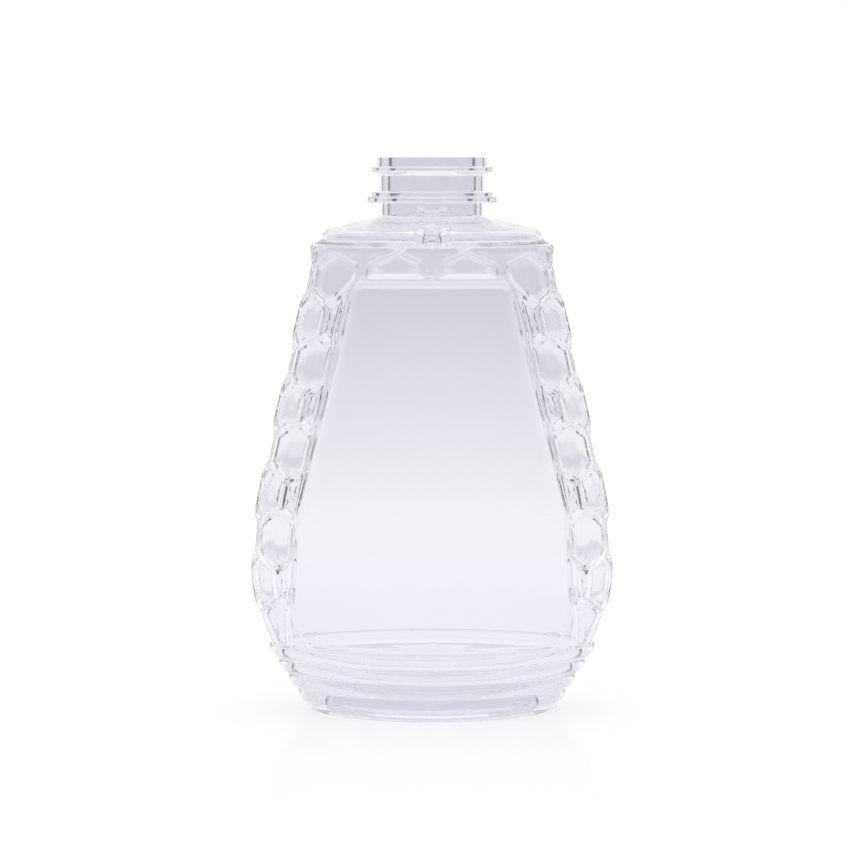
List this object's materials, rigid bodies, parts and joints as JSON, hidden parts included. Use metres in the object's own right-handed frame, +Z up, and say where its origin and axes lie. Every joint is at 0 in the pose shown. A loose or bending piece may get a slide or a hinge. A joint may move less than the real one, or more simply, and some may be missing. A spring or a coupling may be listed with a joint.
{
  "type": "honey bottle",
  "caption": "Clear flattened pear-shaped honey bottle with a honeycomb relief on its sides, a ribbed heel and an open round neck for a press-on cap.",
  "frame": {"origin": "middle of the base, on the surface that the bottle stands on", "axes": "+Z up along the neck's axis, +X along the bottle's width, and the front broad face looks along -Y"},
  "size_m": [0.114, 0.0644, 0.1741],
  "materials": {
    "neck_plastic": "clear injection-moulded polyester, polished",
    "body_plastic": "clear stretch-blown polyester, glossy"
  },
  "bodies": {
    "root": {"neck_finish": "neck_plastic", "support_ring": "neck_plastic", "shoulder": "body_plastic", "front_label_wall": "body_plastic", "back_label_wall": "body_plastic", "left_honeycomb_wall": "body_plastic", "right_honeycomb_wall": "body_plastic", "ribbed_heel": "body_plastic", "push_up_base": "body_plastic"}
  },
  "joints": []
}
